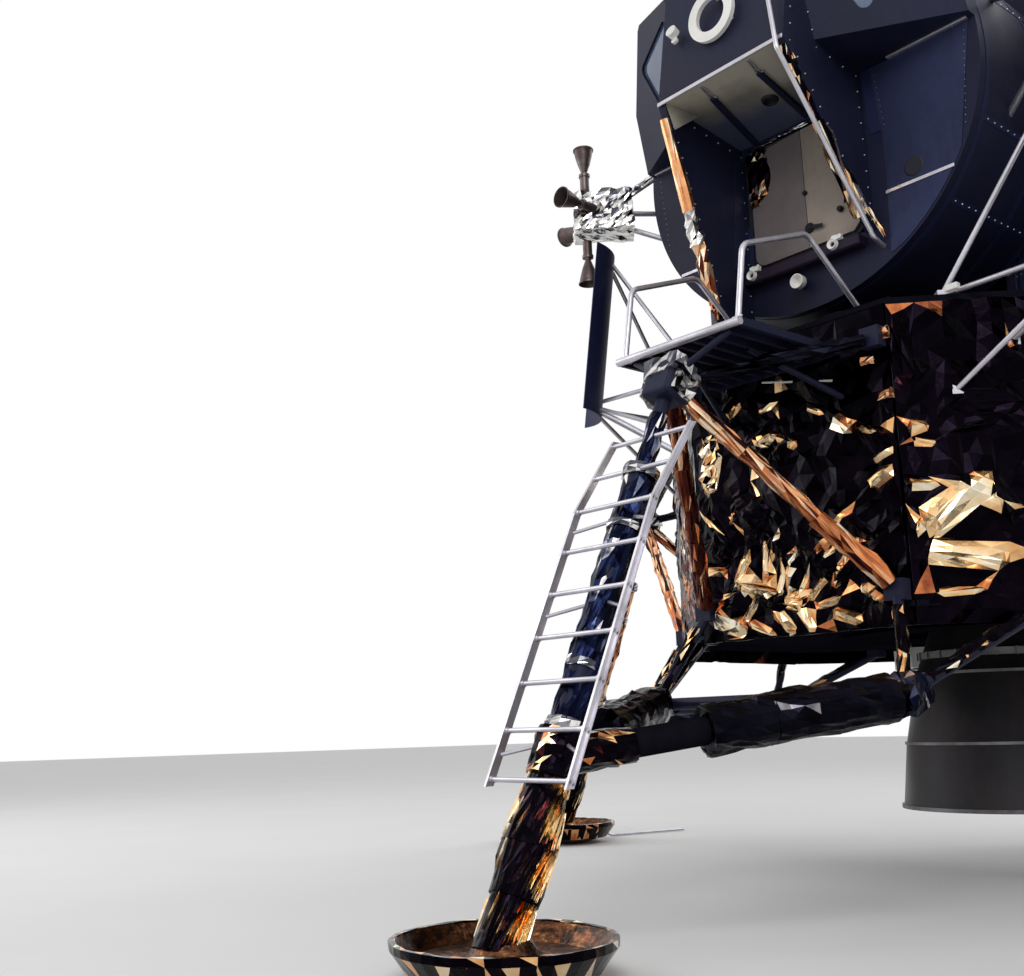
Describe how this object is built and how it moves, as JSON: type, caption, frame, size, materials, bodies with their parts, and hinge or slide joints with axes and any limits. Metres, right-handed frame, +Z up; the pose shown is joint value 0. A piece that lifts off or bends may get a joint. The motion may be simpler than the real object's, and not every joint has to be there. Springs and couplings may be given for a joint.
{
  "type": "lunar module",
  "caption": "Crewed lander on four legs: eight-sided descent stage with engine, ladder and porch, and an ascent cabin with hatches, tanks, thrusters and antennas.",
  "frame": {"origin": "on the ground under the centre line", "axes": "+Z up, -Y forward (hatch, porch and ladder), +X to the crew's left"},
  "size_m": [9.4238, 9.4238, 6.985],
  "materials": {
    "foil_gold": "crinkled gold-amber foil",
    "foil_copper": "crinkled copper foil",
    "black_paint": "matte black blanket and paint",
    "grey_panel": "dull anodised sheet",
    "tunnel_black": "matte black",
    "alloy": "bare aluminium",
    "engine_metal": "dark metal",
    "nozzle_black": "heat-darkened metal",
    "foil_silver": "crinkled silver foil",
    "white_paint": "white thermal paint",
    "window_glass": "coated pane"
  },
  "bodies": {
    "module": {"aft_bay": "grey_panel", "antenna_mast": "alloy", "ascent_engine": "engine_metal", "base_shield": "black_paint", "cabin_shell": "grey_panel", "contact_probes": "alloy", "deflector_struts": "alloy", "deployment_trusses": "black_paint", "descent_decks": "alloy", "docking_tunnel": "tunnel_black", "engine_mounts": "engine_metal", "equipment_bay": "black_paint", "eva_handrail": "alloy", "footpads": "foil_silver", "front_face": "grey_panel", "fuel_fairing": "grey_panel", "inflight_antennas": "white_paint", "interstage_fittings": "alloy", "ladder_brackets": "alloy", "ladder_rails": "alloy", "ladder_rungs": "alloy", "leg_fittings": "alloy", "midsection": "grey_panel", "outrigger_tubes": "foil_copper", "oxidizer_fairing": "grey_panel", "pallet_bay": "black_paint", "plain_bays": "black_paint", "plume_deflectors": "grey_panel", "porch": "black_paint", "porch_rails": "alloy", "porch_struts": "alloy", "primary_cylinders": "black_paint", "primary_pistons": "alloy", "radar_brackets": "alloy", "radar_pedestal": "alloy", "rcs_booms": "alloy", "rcs_clusters": "foil_silver", "rcs_nozzles": "nozzle_black", "secondary_cylinders": "foil_copper", "secondary_pistons": "alloy", "strut_wraps": "foil_gold", "tank_bays": "foil_gold", "truss_ends": "black_paint", "vhf_antennas": "white_paint", "window_panes": "window_glass"},
    "forward_hatch": {"forward_hatch": "grey_panel"},
    "overhead_hatch": {"overhead_hatch": "tunnel_black"},
    "pallet": {"equipment_pallet": "foil_copper"},
    "bay_door": {"equipment_door": "black_paint"},
    "ground_radar": {"landing_radar": "white_paint"},
    "gimbal_ring": {"gimbal_ring": "engine_metal"},
    "engine": {"descent_engine": "engine_metal", "descent_nozzle": "nozzle_black"},
    "radar_yoke": {"radar_yoke": "alloy"},
    "radar_dish": {"radar_dish": "white_paint"},
    "antenna_yoke": {"antenna_yoke": "alloy"},
    "antenna_dish": {"antenna_dish": "white_paint"}
  },
  "joints": [
    {"name": "forward_hatch_swing", "type": "hinge", "parent": "module", "child": "forward_hatch", "pos_m": [-0.414, -1.632, 4.216], "axis": [0, 0, 1], "range_deg": [0, 90]},
    {"name": "overhead_hatch_swing", "type": "hinge", "parent": "module", "child": "overhead_hatch", "pos_m": [0, 0.43, 5.655], "axis": [1, 0, 0], "range_deg": [0, 90]},
    {"name": "pallet_fold", "type": "hinge", "parent": "module", "child": "pallet", "pos_m": [-1.35536, -1.35536, 1.66], "axis": [0.7071, -0.7071, 0], "range_deg": [0, 90]},
    {"name": "bay_door_swing", "type": "hinge", "parent": "module", "child": "bay_door", "pos_m": [1.35536, 1.35536, 2.88], "axis": [0.7071, -0.7071, 0], "range_deg": [0, 85]},
    {"name": "ground_radar_tilt", "type": "hinge", "parent": "module", "child": "ground_radar", "pos_m": [-0.77782, 0.77782, 1.51], "axis": [-0.7071, -0.7071, 0], "range_deg": [0, 24]},
    {"name": "gimbal_pitch", "type": "hinge", "parent": "module", "child": "gimbal_ring", "pos_m": [0, 0, 2.16], "axis": [0, 1, 0], "range_deg": [-6, 6]},
    {"name": "gimbal_roll", "type": "hinge", "parent": "gimbal_ring", "child": "engine", "pos_m": [0, 0, 2.16], "axis": [1, 0, 0], "range_deg": [-6, 6]},
    {"name": "radar_shaft", "type": "hinge", "parent": "module", "child": "radar_yoke", "pos_m": [0, -1.56, 6.2], "axis": [1, 0, 0], "range_deg": [-60, 60]},
    {"name": "radar_trunnion", "type": "hinge", "parent": "radar_yoke", "child": "radar_dish", "pos_m": [0, -1.56, 6.56], "axis": [0, 0, 1], "range_deg": [-60, 60]},
    {"name": "antenna_turn", "type": "hinge", "parent": "module", "child": "antenna_yoke", "pos_m": [-1.25, -1.55, 6.455], "axis": [0, 0, 1], "range_deg": [-87, 87]},
    {"name": "antenna_tilt", "type": "hinge", "parent": "antenna_yoke", "child": "antenna_dish", "pos_m": [-1.25, -1.55, 6.655], "axis": [1, 0, 0], "range_deg": [-120, 0]}
  ]
}
